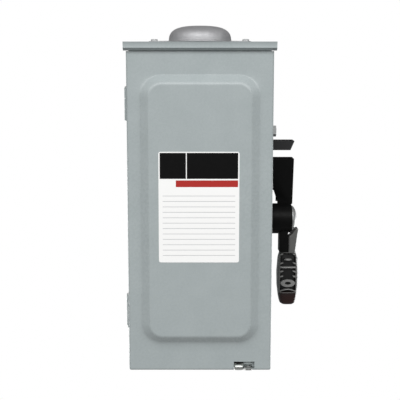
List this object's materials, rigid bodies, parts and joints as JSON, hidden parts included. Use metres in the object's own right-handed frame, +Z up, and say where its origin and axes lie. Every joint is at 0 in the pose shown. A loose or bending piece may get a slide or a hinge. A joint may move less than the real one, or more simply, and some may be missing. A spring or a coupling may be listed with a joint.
{
  "type": "ac disconnect box",
  "caption": "Outdoor fusible AC disconnect: grey sheet steel case with rain cap, hinged embossed door, side handle that turns a knife switch, fuses and wire lugs inside.",
  "frame": {"origin": "centre of the wall hole pattern, on the wall plane", "axes": "+Z up, +Y into the wall, so the door faces -Y; +X to the right, on the handle's side"},
  "size_m": [0.2032, 0.129, 0.398],
  "materials": {
    "paint_grey": "satin grey enamel",
    "dome_metal": "bare die casting",
    "gasket_rubber": "matt",
    "zinc_steel": "zinc plated",
    "black_paint": "gloss black enamel",
    "grip_plastic": "moulded",
    "bush_brass": "turned",
    "copper": "plated copper",
    "lug_alloy": "tin plated",
    "base_moulding": "moulded",
    "arc_board": "fibre board",
    "clear_plastic": "clear plastic",
    "fuse_tube": "fibre tube",
    "white_moulding": "moulded",
    "green_screw": "green",
    "red_moulding": "moulded"
  },
  "bodies": {
    "case": {"enclosure_wrap": "paint_grey", "top_endwall": "paint_grey", "bottom_endwall": "paint_grey", "hub_gasket": "gasket_rubber", "hub_cap": "dome_metal", "hub_cap_screws": "zinc_steel", "hinge_case_leaves": "paint_grey", "hinge_pins": "zinc_steel", "hasp_tab": "zinc_steel", "handle_bracket": "black_paint", "bracket_rivets": "black_paint", "shaft_bushing": "bush_brass", "interlock_screw": "zinc_steel", "interlock_nut": "zinc_steel", "mechanism_frame": "zinc_steel", "frame_screws": "zinc_steel", "line_base": "base_moulding", "line_jaws": "copper", "line_lugs": "lug_alloy", "line_lug_screws": "zinc_steel", "arc_shields": "arc_board", "line_shield": "clear_plastic", "fuse_base": "base_moulding", "hinge_jaws": "copper", "hinge_jaw_pins": "zinc_steel", "upper_fuse_clips": "copper", "lower_fuse_clips": "copper", "fuse_barrels": "fuse_tube", "fuse_ferrules": "bush_brass", "load_lugs": "lug_alloy", "load_lug_screws": "zinc_steel", "neutral_insulator": "white_moulding", "neutral_bar": "lug_alloy", "neutral_screws": "zinc_steel", "ground_lug": "lug_alloy", "ground_screw": "green_screw", "base_screws": "zinc_steel"},
    "door": {"door_panel": "paint_grey", "hinge_door_leaves": "paint_grey", "door_latch": "zinc_steel"},
    "handle": {"handle_lever": "black_paint", "handle_grip": "grip_plastic", "grip_rivets": "zinc_steel", "handle_shaft": "zinc_steel", "pivot_cap": "zinc_steel", "drive_crank": "zinc_steel", "drive_spring": "zinc_steel"},
    "rotor": {"crossbar": "red_moulding", "moving_blades": "copper", "rotor_crank": "zinc_steel"}
  },
  "joints": [
    {"name": "door_hinge", "type": "hinge", "parent": "case", "child": "door", "pos_m": [-0.0831, -0.101, 0], "axis": [0, 0, -1], "range_deg": [0, 120]},
    {"name": "handle_turn", "type": "hinge", "parent": "case", "child": "handle", "pos_m": [0, -0.068, -0.017], "axis": [-1, 0, 0], "range_deg": [0, 150]},
    {"name": "rotor_turn", "type": "hinge", "parent": "case", "child": "rotor", "pos_m": [0, -0.05, -0.017], "axis": [-1, 0, 0], "range_deg": [0, 50]}
  ],
  "couplings": [
    {"joint": "rotor_turn", "follows": "handle_turn", "ratio": 0.3333}
  ]
}
